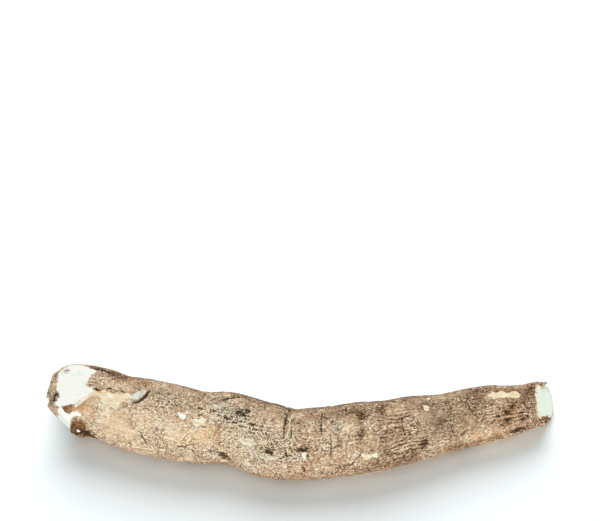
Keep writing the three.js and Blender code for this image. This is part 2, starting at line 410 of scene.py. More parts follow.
# Holes and hollows, dark inside: place, length, width, turn in degrees, depth
PITS = [
    ((-111, 75), 2.6, 1.3, 10, 0.7),
    ((-98, 90), 2.4, 1.7, -40, 0.6),
    ((-104, 97), 2.4, 1.1, 50, 0.4),
    ((-90, 116), 2.2, 1.2, 20, 0.3),
    ((-99, 133), 1.6, 1.6, 0, 0.3),
    ((-117, 168), 2.4, 1.6, 30, 0.4),
    ((-69.6, 88.5), 4.4, 2.8, 15, 0.9),
    ((-69, 101), 6.0, 1.5, -35, 0.5),
    ((-66.5, 120.5), 5.6, 1.4, -8, 0.5),
    ((-60.3, 91), 5.2, 1.5, -20, 0.5),
    ((-37.5, 76), 2.4, 1.6, -20, 0.5),
    ((-62, 159), 4.0, 2.2, 30, 0.6),
    ((-53, 168), 13.0, 5.6, 38, 1.1),
    ((-23.5, 140), 6.2, 4.6, 20, 1.0),
    ((-1.2, 130), 10.5, 4.0, -4, 1.3),
    ((2.6, 141), 2.6, 2.2, 60, 0.9),
    ((0.2, 163), 7.0, 2.0, 62, 0.7),
    ((0.8, 179), 1.8, 1.6, 0, 0.4),
    ((3.4, 181), 1.6, 1.4, 0, 0.4),
    ((45.1, 152), 1.3, 1.3, 0, 0.5),
    ((121, 49), 4.2, 1.2, -10, 0.4),
    ((137.9, 120), 4.4, 3.4, 30, 0.9),
    ((142.5, 110), 6.0, 2.2, -40, 0.8),
    ((139.1, 138), 7.0, 2.4, -14, 1.0),
    ((132.2, 127), 3.6, 1.9, 20, 0.6),
    ((129.5, 137), 3.4, 1.8, -24, 0.6),
    ((135, 146), 3.0, 1.7, 12, 0.5),
    ((150.5, 142), 4.4, 2.4, -38, 0.7),
    ((148.3, 128), 3.4, 1.9, 44, 0.5),
    ((154, 139), 3.0, 2.0, 10, 0.5),
    ((133.8, 110), 2.6, 1.7, 0, 0.4),
    ((145.4, 101), 2.8, 1.5, -30, 0.4),
    ((147, 166), 10.5, 3.6, -12, 1.2),
    ((108.2, 149), 5.0, 2.2, -15, 0.6),
    ((-25.5, 120), 3.0, 1.0, 30, 0.3),
    ((-131.5, 84.5), 5.4, 1.9, -18, 0.5),
    ((-127, 84.5), 3.6, 1.8, -10, 0.5),
    ((-122.5, 84.5), 4.4, 1.7, 15, 0.5),
    ((-139.5, 93), 4.0, 2.6, 20, 0.5),
]

# Where the bark lies in lengthwise ripples: place, length, width
RIPPLES_PER_TURN = 52
RIPPLES = [
    ((67, 98), 36, 20),
    ((70, 148), 34, 16),
    ((26, 124), 30, 12),
    ((-32, 100), 34, 24),
    ((138, 124), 40, 24),
    ((-140, 82), 26, 16),
    ((40, 250), 90, 40),
    ((-80, 300), 80, 36),
    ((70, 0), 70, 26),
]

# Crumbly dark soil stuck in the bark: place, length, width, turn
SOIL = [
    ((-42.5, 87), 12.0, 8.0, -36),
    ((-50, 61), 26.0, 4.0, -38),
    ((-37.5, 79), 5.0, 3.0, -20),
    ((-51.5, 100.5), 6.0, 3.0, 20),
    ((-46, 105), 5.0, 2.4, 0),
    ((-34, 103), 5.0, 2.2, 25),
    ((-134, 48), 24.0, 4.5, 0),
]

# Soft zones: place, length, width, then how much lighter, more ochre and greyer; what is
# left out at the end of a row is 0. Besides the bark's own tone, the rows carry painted light
# and shade: the dark rows along the top and the lower edge are painted shade where the root
# turns away from the lamps, and many of the others make a region lighter or darker to stand
# in for how the light falls on it.
ZONES = [
    ((-100, 128), 46, 26, 0.55, 0.15),
    ((-130, 140), 30, 24, 0.25, 0.3),
    ((-75, 140), 34, 20, 0.3, 0.75),
    ((-60, 128), 22, 16, 0.25, 0.7),
    ((-110, 172), 50, 10, 0.1, 0.5),
    ((-55, 84), 28, 10, 0.15, 0.0, 0.6),
    ((-80, 74), 12, 10, -0.35, 0.0, 0.6),
    ((-86, 98), 16, 14, -0.1, 0.0, 0.5),
    ((-95, 125), 20, 10, 0.1, 0.0, 0.35),
    ((-51, 145), 4, 11, -0.25, 0.0, 0.7),
    ((-33, 140), 7, 14, -0.1, 0.0, 0.75),
    ((-34, 118), 5, 10, -0.3, 0.0, 0.4),
    ((-22, 136), 10, 9, -0.35),
    ((-6, 120), 14, 14, 0.3, 0.0, 0.2),
    ((-6, 145), 9, 14, 0.35, 0.0, 0.7),
    ((2, 160), 12, 9, 0.0, 0.7),
    ((14, 80), 26, 14, -0.15, 0.0, 0.45),
    ((22, 98), 10, 14, -1.1, 0.0, 0.8),
    ((24, 121), 8, 10, -1.0, 0.0, 0.6),
    ((38, 114), 8, 16, -1.1, 0.0, 0.8),
    ((38, 84), 14, 14, -1.2, 0.1, 0.4),
    ((34, 142), 16, 12, 0.3, 0.1, 0.1),
    ((52, 70), 6, 24, -0.4, 0.0, 0.5),
    ((52, 118), 6, 26, -0.45, 0.0, 0.5),
    ((57, 150), 6, 12, -0.35, 0.0, 0.5),
    ((64, 75), 14, 9, 0.4, 0.2),
    ((70, 140), 16, 14, 0.1, 0.1),
    ((81, 148), 10, 9, -1.6, 0.0, 0.8),
    ((84, 72), 12, 10, -0.35, 0.0, 0.5),
    ((92, 118), 16, 22, -0.15, 0.0, 0.45),
    ((108, 70), 12, 14, 0.05, 0.2),
    ((116, 128), 12, 10, 0.2, 0.2),
    ((120, 90), 14, 18, -0.3, 0.0, 0.6),
    ((124, 58), 30, 10, -0.35, 0.0, 0.4),
    ((138, 128), 22, 12, 0.0, 0.4),
    ((122, 160), 66, 11, 0.55, 0.4),
    ((112, 179), 60, 6, -0.5, 0.2),
    ((155, 100), 8, 30, -0.3, 0.0, 0.3),
    ((146, 168), 14, 5, -0.7),
    ((-137, 41), 50, 20, -0.9, 0.1),
    # painted shade along the top edge on the hollow side, with a greyer, darker tone of the bark there
    ((0, 26), 400, 30, -0.75, 0.1, 0.2),
    ((150, 110), 110, 70, -0.35),
    ((-120, 160), 70, 30, 0.25, 0.1),
    ((0, 270), 360, 44, -0.25, 0.2, 0.2),
    # dark rows along the top: painted shade, with the bark's own darker tone
    ((-95, 70), 30, 16, -0.3),
    ((-56, 68), 34, 16, -0.35, 0.0, 0.1),
    ((-16, 72), 34, 20, -0.4),
    ((33, 68), 40, 16, -0.45),
    ((84, 72), 26, 22, -0.5, 0.0, 0.2),
    ((120, 66), 50, 14, -0.3),
    ((160, 75), 16, 20, -0.4, 0.0, 0.2),
    ((-126, 74), 34, 14, 0.3),
    ((62, 76), 18, 20, 0.35, 0.2),
    ((96, 100), 50, 26, -0.35, 0.0, 0.3),
    ((-56, 96), 20, 14, 0.2, 0.0, 0.2),
    ((86, 122), 46, 24, -0.35, 0.0, 0.1),
    ((-134, 122), 26, 18, 0.3, 0.1),
    ((-46, 120), 34, 20, 0.35, 0.1),
    ((-38, 146), 50, 20, 0.35),
    ((64, 152), 30, 22, -0.35, 0.2),
    ((101, 146), 20, 16, -0.25),
    ((124, 146), 20, 14, 0.25),
    ((-36, 170), 26, 16, 0.35, 0.1),
    ((160, 165), 18, 16, -0.4),
    ((-142, 102), 12, 9, 0.2, 0.8),
    ((-23.5, 141), 13, 10, -0.5, 0.3),
    ((45, 173), 124, 17, -0.65),
    ((150, 172), 40, 14, -0.7),
    ((23, 96), 20, 16, 0.45),
    ((24, 120), 20, 14, 0.4),
    ((42, 100), 24, 16, 0.25),
    ((-134, 122), 18, 16, 0.35),
    ((-75, 120), 16, 14, 0.2),
    ((-36, 120), 18, 14, 0.25),
    ((-16, 145), 20, 12, 0.35),
    ((62, 128), 20, 20, -0.3),
    ((140, 144), 16, 14, -0.3),
    ((160, 66), 16, 14, -0.5),
    # more painted shade along the top
    ((35, 68), 70, 12, -0.22),
    ((120, 68), 60, 12, -0.2),
    ((-85, 68), 40, 12, -0.2),
    ((-56, 170), 12, 10, 0.3),
    ((101, 120), 14, 12, 0.2),
    ((121, 168), 36, 8, 0.25, 0.5),
    # painted shade along the lower edge, then along the top edge
    ((10, 197), 350, 20, -0.8),
    ((-5, 42), 350, 11, -0.4),
    ((-140, 50), 30, 10, -0.5),
    ((-5, 45), 10, 28, -0.8),
    # painted shade in the hollow below the lobe at the nose
    ((-149, 189), 24, 14, -1.5, 0.2),
    ((-147, 173), 17, 10, -1.1, 0.6),
    # painted shade along the top, and one lighter row
    ((150, 68), 50, 12, -0.3),
    ((-128, 70), 36, 12, 0.2),
    ((30, 68), 80, 12, -0.15),
    ((-114, 96), 20, 12, 0.3),
    ((-46, 97), 34, 12, 0.28),
    ((32, 97), 34, 14, 0.25),
    ((-134, 121), 18, 12, 0.2),
    ((-80, 121), 50, 14, 0.2),
    ((88, 120), 130, 100, -0.1, 0.0, 0.45),
    ((-112, 160), 80, 30, -0.25),
    ((42, 155), 26, 34, -0.28),
    ((104, 170), 26, 14, -0.25),
]

# Where the bark is more finely broken up, or smoother: place, length, width, how much
ROUGH = [
    ((-44, 94), 40, 22, 0.7),
    ((-22, 124), 40, 26, 0.4),
    ((-30, 150), 40, 16, 0.3),
    ((62, 152), 40, 16, 0.3),
    ((-84, 168), 44, 12, 0.3),
    ((142, 134), 34, 20, 0.15),
    ((72, 96), 20, 14, 0.2),
    ((-142, 100), 14, 10, 0.5),
    ((-90, 88), 30, 14, 0.25),
    ((-126, 140), 46, 26, -0.35),
    ((-102, 122), 34, 18, -0.2),
    ((100, 84), 40, 24, -0.25),
    ((-68, 138), 22, 14, -0.25),
    ((125, 110), 130, 90, -0.28),
    ((80, 110), 70, 80, -0.12),
    ((-50, 110), 50, 50, 0.08),
    ((-110, 118), 90, 90, -0.14),
]

# The back and the underside carry the same kinds of marks, strewn at random
FAR_BEARINGS = (208, 385)
FAR_REACH = 145  # mm to each side of the frame's origin
DEGREES_PER_MM = 2.3  # round the root, about
OVAL_CORNERS = 9


def strewn(seed, count):
    """Random places on the back and underside, each with the draw that goes on from it."""
    draw = random.Random(seed)
    for _ in range(count):
        yield draw, (draw.uniform(-FAR_REACH, FAR_REACH), draw.uniform(*FAR_BEARINGS))


def ragged_oval(draw, place, length, width):
    """An uneven outline round a place."""
    outline = []
    for k in range(OVAL_CORNERS):
        turn, reach = math.tau * k / OVAL_CORNERS, draw.uniform(0.55, 1.1) / 2
        outline.append((place[0] + length * reach * math.cos(turn),
                        place[1] + DEGREES_PER_MM * width * reach * math.sin(turn)))
    return outline


def strew_far_marks():
    """Adds the strewn marks to the tables."""
    for draw, place in strewn(3, 11):
        size = draw.uniform(3, 13)
        outline = ragged_oval(draw, place, size, size * draw.uniform(0.35, 0.7))
        CREAM_PATCHES.append((outline, draw.uniform(0.1, 0.9)))
    for draw, (x, bearing) in strewn(5, 12):
        steps = [(x + draw.uniform(-2, 2), bearing + 14 * k) for k in range(draw.randint(2, 4))]
        CRACKS.append((steps, 0.55, 0.5))
    for draw, place in strewn(8, 34):
        size = draw.uniform(1.4, 6)
        PITS.append((place, size, size * draw.uniform(0.4, 0.8), draw.uniform(-60, 60), size / 6))
    for draw, place in strewn(13, 6):
        SOIL.append((place, draw.uniform(4, 12), draw.uniform(3, 6), draw.uniform(-40, 40)))
    for draw, place in strewn(21, 22):
        ZONES.append((place, draw.uniform(8, 40), draw.uniform(8, 24), draw.uniform(-0.8, 0.5),
                      draw.uniform(0, 0.5), draw.uniform(-0.3, 0.7)))


def degrees_past(place, bearing):
    """Degrees round the root from a place, -180 to 180."""
    return (bearing - place[1] + 180) % 360 - 180


class Marks:
    """Measures, in mm, from every point of the skin to what is drawn on it."""

    NEAR_X, NEAR_TURN = 4, 12  # mm and degrees from a place, in which its radius is measured
    USUAL_RADIUS, USUAL_STEEPEST = 25.0, 0.25

    def __init__(self, skin):
        self.skin = skin
        self.x = skin.points[..., 0]
        middle_y = np.interp(self.x, skin.line[:, 0], skin.line[:, 1])
        middle_z = np.interp(self.x, skin.line[:, 0], skin.line[:, 2])
        rise, side = skin.points[..., 2] - middle_z, skin.points[..., 1] - middle_y
        self.bearing = np.degrees(np.arctan2(rise, side))
        self.from_below = (self.bearing + 90) % 360
        self.radius = np.hypot(rise, side)
        self.wander = [0.55 * grid_noise(skin.grain, 0.28, 2, seed) for seed in (13.0, 14.5)]
        blurred = blur(skin.normals, 2.0, 2.0)
        self.smooth_normals = blurred / np.linalg.norm(blurred, axis=2)[..., None]

    def rolled_out(self, place, x, bearing):
        """Distances along and round from a place, as if the skin there were rolled out flat."""
        near_turn = abs(degrees_past(place, self.bearing)) < self.NEAR_TURN
        near = (abs(self.x - place[0]) < self.NEAR_X) & near_turn
        radius = self.radius[near].mean() if near.any() else self.USUAL_RADIUS
        return x - place[0], degrees_past(place, bearing) * math.radians(radius)

    def drawn(self, place, spots):
        """Every point of the skin and a list of spots, rolled out round the same place."""
        corners = np.column_stack(self.rolled_out(place, *np.array(spots, float).T))
        return *self.rolled_out(place, self.x, self.bearing), corners

    def facing(self, place):
        """The skin's point at a place, and the directions along it, round it and out of it."""
        gap = abs(self.x - place[0]) + 0.5 * abs(degrees_past(place, self.bearing))
        k = np.unravel_index(np.argmin(gap), gap.shape)
        out = self.smooth_normals[k]
        along = np.array([1.0, 0, 0]) - out * out[0]
        along /= np.linalg.norm(along)
        around = np.cross(along, out)
        return self.skin.points[k], along, around, out

    def tangent(self, place, steepest=USUAL_STEEPEST):
        """Every point's distances along and round on the tangent plane, and where they hold."""
        spot, along, around, out = self.facing(place)
        offset = self.skin.points - spot
        return offset @ along, offset @ around, self.skin.normals @ out > steepest

    def facing_patch(self, place, corners, steepest=USUAL_STEEPEST):
        """Distance inside an outline drawn on the tangent plane at a place."""
        u, v, holds = self.tangent(place, steepest)
        return np.where(holds, outline_distance(u, v, corners), OUTSIDE)

    def oval(self, place, length, width, turn=0.0):
        """1 in the middle of an oval, 0 on its edge, below 0 outside."""
        u, v = self.rolled_out(place, self.x, self.bearing)
        c, s = math.cos(math.radians(turn)), math.sin(math.radians(turn))
        along, across = u * c + v * s, v * c - u * s
        return 1 - np.hypot(along / (length / 2), across / (width / 2))

    def patch(self, spots):
        """Distance inside an outline, negative outside."""
        return outline_distance(*self.drawn(np.mean(spots, axis=0), spots))

    def path(self, spots):
        """Distance from a wandering path, and the share of its length that has been passed."""
        u, v, corners = self.drawn(spots[len(spots) // 2], spots)
        return path_distance(u + self.wander[0], v + self.wander[1], corners)


def path_distance(u, v, corners):
    """Distance from a path, and the share of its length up to the nearest point."""
    corners = np.array(corners)
    best = np.full(u.shape, FAR)
    share = np.zeros(u.shape)
    lengths = np.hypot(*np.diff(corners, axis=0).T)
    gone = 0.0
    for (start, end), length in zip(zip(corners[:-1], corners[1:]), lengths):
        du, dv = end - start
        t = np.clip(((u - start[0]) * du + (v - start[1]) * dv) / length ** 2, 0, 1)
        gap = np.hypot(u - start[0] - t * du, v - start[1] - t * dv)
        closer = gap < best
        best = np.where(closer, gap, best)
        share = np.where(closer, (gone + t * length) / lengths.sum(), share)
        gone += length
    return best, share


def outline_distance(u, v, corners):
    """Distance inside a closed outline, negative outside."""
    closed = np.array([*corners, corners[0]])
    gap, _ = path_distance(u, v, closed)
    inside = np.zeros(u.shape, bool)
    for start, end in zip(closed[:-1], closed[1:]):
        if start[1] == end[1]:
            continue
        crosses = (v > start[1]) != (v > end[1])
        at = start[0] + (v - start[1]) / (end[1] - start[1]) * (end[0] - start[0])
        inside ^= crosses & (u < at)
    return np.where(inside, gap, -gap)


# ------------------------------ relief and layers of the skin

PEEL = 0.7  # mm, how far the white flesh lies below the bark
INNER = 0.45  # mm, how far the cream inner bark lies below the outer peel
SOIL_HEIGHT, TONGUE_HEIGHT, LOBE_HEIGHT = 0.35, 0.9, 1.3  # mm
OVAL_FADE = 2.2  # how many times e a zone has faded by at its oval's edge
RIM_ROWS = 14  # beside a cut, over which the distance to its rim is measured

# The knife cuts at the nose, each on the tangent plane at a place. Steepest is the cosine of
# the skin's turn away from the plane up to which its marks hold
SLICE_PLACE = (-154.5, 84)
SLICE_OUTLINE = [
    (-15, -14), (-4, -20), (5, -16), (13, -11.5), (13.5, -9), (10.5, -6.5), (9, -3.5), (6.5, 1.5),
    (9.5, 3.5), (12.5, 6), (12.5, 8.5), (10, 10), (0, 16), (-10.5, 17), (-16, 13), (-14, 5.5),
    (-16, -2.5)]
NICK_PLACE = (-160.6, 141)
NICK_OUTLINE = [
    (-6.5, -2), (-3.5, -4.5), (-2, -2.5), (-0.5, -0.5), (2.5, 0.5), (3.5, -1), (6.5, -1.5),
    (9.5, -0.5), (11.5, 2.5), (5.5, 2.5), (3.5, 4), (2.5, 7), (-6, 26), (-14, 26), (-18, 20),
    (-15, 12), (-9, 5)]
NICK_STEEPEST = -0.6

# Bark that was left standing between the cuts
TONGUE_PLACE = (-155, 130)
TONGUE_OUTLINE = [
    (13, -8.5), (8, -8), (4, -4), (1, -2.5), (-4, -2), (-6.5, -0.5), (-7.5, 1), (-7, 3), (-5.5, 4.5),
    (-2, 5), (-1.5, 3), (1.5, 3), (5, 4), (8.5, 6), (13, -0.5)]
LOBE_PLACE = (-154.2, 158)
LOBE_OUTLINE = [
    (-7, 9), (-3.5, -1.5), (-0.5, -4), (3, -4.5), (5.5, -3), (7, 0), (6, 5.5), (2, 9), (-5, 18), (-9, 18)]
LOBE_STEEPEST = -0.2
LOBE_SHADE = [(1.5, 6), (4.5, 8), (7, 10.5), (11, 11.5)]  # painted shadow at its foot

# Marks on the slice's plane
TORN_EDGE = [(11, 11), (6, 14), (1, 16.8)]  # papery ash-coloured peel
RIM_SOIL = (-17.6, 7), (5.4, 5.4)  # centre, half length and width
SAP_STAIN = (-9, -13), (3.2, 2.2)
TANNED_RIM = (-18, -2), (3.5, 5)

# The curled flake, drawn on the tangent plane at its place
FLAKE_PLACE = (-112.3, 86)
FLAKE_OUTLINE = [
    (-5.5, 3), (-3.6, 0), (-1, -2), (2, -2.8), (6.4, -3.6), (5.8, -1.4), (4, 0.8), (1, 3), (-2, 3.6),
    (-3.6, 2.8)]
FLAKE_THICKNESS = 0.6
FLAKE_SPOKES = 48
FLAKE_RINGS = [0.0, 0.2, 0.4, 0.6, 0.8, 0.93, 1.0]  # shares of the way from its middle to its edge
FLAKE_GRAIN = 400  # mm along the grain, away from the root's own


def cut_rim_distance(skin, name):
    """Distance inside the rim of one flat cut, negative on the bark around it."""
    on_cut = skin.cut_name == name
    near = np.zeros(on_cut.shape, bool)
    rows = np.where(on_cut.any(axis=1))[0]
    near[max(rows.min() - RIM_ROWS, 0):rows.max() + RIM_ROWS + 1] = True
    trees = []
    for group in (near & ~on_cut, on_cut):
        spots = skin.points[group]
        tree = KDTree(len(spots))
        for k, spot in enumerate(spots):
            tree.insert(spot, k)
        tree.balance()
        trees.append(tree)
    bark_tree, cut_tree = trees
    distance = np.full(on_cut.shape, OUTSIDE)
    for i, k in np.argwhere(near):
        tree = bark_tree if on_cut[i, k] else cut_tree
        gap = tree.find(skin.points[i, k])[2] - STEP / 2
        distance[i, k] = gap if on_cut[i, k] else -gap
    return distance


def flesh_distance(skin, marks, break_rim, tail_rim):
    """Distances inside all the white cut flesh and inside the knife cuts, negative on bark."""
    ragged = 0.7 * grid_noise(skin.grain, 0.35, 3, seed=4.0)
    cut = marks.facing_patch(SLICE_PLACE, SLICE_OUTLINE)
    cut = np.minimum(cut + ragged, 0.6 - break_rim)
    nick = marks.facing_patch(NICK_PLACE, NICK_OUTLINE, NICK_STEEPEST)
    cut = np.maximum(cut, nick + 0.5 * ragged)
    chipped = smoothstep(50, 64, marks.bearing) * smoothstep(160, 146, marks.bearing)
    tail = 0.25 * (tail_rim - 0.4 + 2.4 * chipped + 0.6 * ragged)
    chips = np.max([marks.patch(spots) for spots in WHITE_CHIPS], axis=0) + 0.4 * ragged
    return np.maximum(np.maximum(cut, tail), chips), cut


def cream_distance(skin, marks):
    """Distance inside the patches of cream inner bark, and how pale the nearest is."""
    ragged = grid_noise(skin.grain, 0.4, 3, seed=9.0, across=0.55)
    inside = np.full(marks.x.shape, OUTSIDE)
    pale = np.full(marks.x.shape, 0.8)
    for outline, paleness in CREAM_PATCHES:
        patch = marks.patch(outline)
        pale = np.where(patch > inside, paleness, pale)
        inside = np.maximum(inside, patch)
    inside = inside + 0.9 * ragged
    for path, width in CREAM_STREAKS:
        gap, _ = marks.path(path)
        streak = width / 2 - gap + 0.4 * ragged
        pale = np.where(streak > np.maximum(inside, -0.5), 1.0, pale)
        inside = np.maximum(inside, streak)
    return inside, pale


def crack_depths(marks):
    """How deep the cracks go, and the distance inside their dark lines."""
    depth = np.zeros(marks.x.shape)
    line = np.full(marks.x.shape, -5.0)
    for path, width, deep in CRACKS:
        gap, share = marks.path(path)
        taper = np.clip(4 * np.minimum(share, 1 - share) + 0.35, 0, 1)
        depth = np.maximum(depth, deep * taper * np.exp(-(gap / max(width, 0.7)) ** 2))
        line = np.maximum(line, width / 2 * taper - gap)
    return depth, line


def fold_heights(marks):
    height = np.zeros(marks.x.shape)
    for path, width, rise in FOLDS:
        gap, share = marks.path(path)
        taper = np.clip(5 * np.minimum(share, 1 - share), 0, 1)
        height = np.maximum(height, rise * taper * np.exp(-(gap / width * 1.6) ** 2))
    return height


def pit_depths(skin, marks):
    """How deep the pits go, and their dark insides, above 0."""
    ragged = 0.28 * grid_noise(skin.grain, 0.5, 2, seed=17.0)
    depth = np.zeros(marks.x.shape)
    dark = np.full(marks.x.shape, -2.0)
    for *oval, deep in PITS:
        inside = marks.oval(*oval) + ragged
        depth = np.maximum(depth, deep * smoothstep(-0.25, 0.6, inside))
        dark = np.maximum(dark, inside)
    return depth, dark


def soil_cover(skin, marks):
    """Where dry soil sticks, above 0."""
    cover = np.max([marks.oval(*oval) for oval in SOIL], axis=0)
    return np.maximum(cover + 0.4 * grid_noise(skin.grain, 0.45, 3, seed=23.0), -2.0)


def oval_distance(u, v, oval):
    """Distance from an oval's centre, 1 on its edge."""
    (along, around), (half_length, half_width) = oval
    return np.hypot((u - along) / half_length, (v - around) / half_width)


def soft_ovals(marks, table):
    """The amounts of a table's rows, each fading out round its place, added up."""
    total = 0.0
    for place, length, width, *amounts in table:
        u, v = marks.rolled_out(place, marks.x, marks.bearing)
        weight = np.exp(-OVAL_FADE * ((u / length * 2) ** 2 + (v / width * 2) ** 2))
        total = total + weight[..., None] * np.pad(amounts, (0, 3 - len(amounts)))
    return total


def rippled_zone(skin, marks):
    """Where the bark lies in lengthwise ripples, 0 to 1; their seam underneath is left out."""
    inside = np.max([marks.oval(*oval) for oval in RIPPLES], axis=0)
    zone = smoothstep(-0.1, 0.5, inside)
    zone *= smoothstep(-0.35, 0.2, grid_noise(skin.grain, 0.06, 2, seed=27.0, across=0.09))
    return zone * smoothstep(176, 168, abs(marks.from_below - 180))


def ripple_phase(skin, marks):
    """Phase of the ripples, in radians; it starts again underneath."""
    wander = grid_noise(skin.grain, 0.06, 2, seed=8.0, across=0.11)
    return RIPPLES_PER_TURN * np.radians(marks.from_below) + 3.4 * wander


# What the bark's relief is made of
BARK_RELIEF = [  # height in mm, features per mm along and across the root, octaves, seed
    (0.42, 0.04, 0.05, 2, 1.0),  # lumps
    (0.30, 0.13, 0.15, 2, 2.0),  # knobs
    (0.20, 0.42, 0.10, 2, 3.0),  # wrinkles
    (0.11, 0.16, 0.62, 2, 5.0),  # fibres
    (0.10, 0.55, 0.60, 1, 6.0),  # grit
]
RIPPLE_HEIGHT = 0.26


def bark_relief(skin, rippled, phase):
    """Lumps, wrinkles, fibres and ripples of the bark, in mm."""
    relief = 0.0
    for height, along, across, octaves, seed in BARK_RELIEF:
        relief = relief + height * grid_noise(skin.grain, along, octaves, seed, across)
    return relief + RIPPLE_HEIGHT * rippled * np.sin(phase)


def peel_steps(skin, cut, flesh, cream, on_bark):
    """Height steps, in mm, from bark down to inner bark and to flesh."""
    on_knife_cut = np.isin(skin.cut_name, ["slice", "nick"])
    overhang = np.clip(skin.body_reach - skin.reach, 0, 3)
    height = np.where(on_knife_cut, np.minimum(overhang, PEEL) * (1 - smoothstep(-1, 0, cut)), 0)
    sunk = PEEL * smoothstep(-0.5, 0.5, flesh)
    height -= np.where(on_knife_cut | (skin.cut_name == "tail"), 0, sunk)
    height -= INNER * smoothstep(-0.5, 0.5, cream) * (1 - 0.5 * smoothstep(1.5, 4, cream))
    lifted_rim = 0.25 * np.exp(-((cream + 0.9) / 0.5) ** 2)
    return height + lifted_rim * on_bark


def tail_lips(skin, marks, rim):
    """Bark that stands past the straight cut: how far it moves each point, and where it is.

    A chunk is left below, on the bulging side, and a thin flap above, on the hollow side.
    """
    ragged = grid_noise(skin.grain, 0.35, 3, seed=51.0)
    bearing = marks.bearing % 360
    low = smoothstep(150, 166, bearing) * (1 - smoothstep(186, 206, bearing))
    high = smoothstep(30, 38, bearing) * (1 - smoothstep(50, 60, bearing))
    chunk = smoothstep(-1.2, 0.3, rim) * (1 - smoothstep(1.4, 2.6, rim + 0.7 * ragged)) * low
    flap = smoothstep(-1.2, 0.0, rim) * (1 - smoothstep(0.5, 1.3, rim)) * high
    move = (chunk * (0.6 + 0.7 * ragged))[..., None] * np.array([0.96, -0.26, -0.1])
    move += (flap * (3.4 + ragged))[..., None] * np.array([0.97, 0.05, 0.24])
    swell = 2.0 * np.exp(-(rim / 6) ** 2) * (rim < 0.8) * low * (1 + ragged)
    move += skin.normals * swell[..., None]
    turn = np.radians(marks.bearing)
    outward = np.stack([0 * turn, np.cos(turn), np.sin(turn)], axis=2)
    plane = skin.planes["tail"][0]
    outward -= (outward @ plane)[..., None] * plane
    fuller = 2.8 * np.exp(-((marks.bearing - 42) / 26) ** 2)
    fuller = fuller * smoothstep(9, 0, rim) * smoothstep(-16, -1, rim)
    return move + outward * fuller[..., None], np.maximum(chunk, flap)


def broken_face(skin, marks, rim):
    """Heights of the lumpy broken face, and of the crown on its hollow side."""
    crown = smoothstep(-0.1, 0.9, np.cos(np.radians(marks.bearing - 25)))
    crown *= 2.6 * smoothstep(-0.3, 3.5, rim)
    return 0.9 * grid_noise(skin.grain, 0.3, 3, seed=41.0, across=0.4) + crown


def curled_flake(marks):
    """A curl of dry peel that stands off the skin, as a closed grid and its layers."""
    spot, along, around, out = marks.facing(FLAKE_PLACE)
    corners = np.array(FLAKE_OUTLINE)
    turns, reaches = np.arctan2(corners[:, 1], corners[:, 0]), np.hypot(*corners.T)
    order = np.argsort(turns)
    spokes = np.linspace(math.pi, -math.pi, FLAKE_SPOKES, endpoint=False)
    edge = np.interp(spokes, turns[order], reaches[order], period=math.tau)
    rings = np.r_[FLAKE_RINGS, FLAKE_RINGS[-2::-1]]
    upper = np.sign(np.arange(len(rings))[::-1] - len(FLAKE_RINGS) + 1)
    reach = rings[:, None] * edge[None]
    a, b = reach * np.cos(spokes), reach * np.sin(spokes)
    length = np.hypot(a, b).max()
    lean = (0.8 * a - 0.6 * b) / length
    curl = (0.6 * a + 0.8 * b) / length
    height = 0.8 + 0.7 * lean - 1.2 * curl ** 2 + 0.4 * curl
    height += 0.16 * np.sin(2.1 * a + 1.3 * b) * (1 - rings[:, None])
    thick = FLAKE_THICKNESS / 2 * np.sqrt(np.clip(1 - rings ** 4, 0, 1))
    height = np.maximum(height, 0.2) + (upper * thick)[:, None]
    points = spot + a[..., None] * along + b[..., None] * around + height[..., None] * out
    grain = np.stack([a + FLAKE_GRAIN, b, height], axis=2)
    plain, unmarked = np.zeros(grain.shape), np.full(grain.shape, -4.0)
    return points, {"grain": grain, "tint": plain, "bare": unmarked, "dirt_and_relief_shade": unmarked * [1, 1, 0],
                    "kind": plain + [0, 0, 1], "stain": plain}


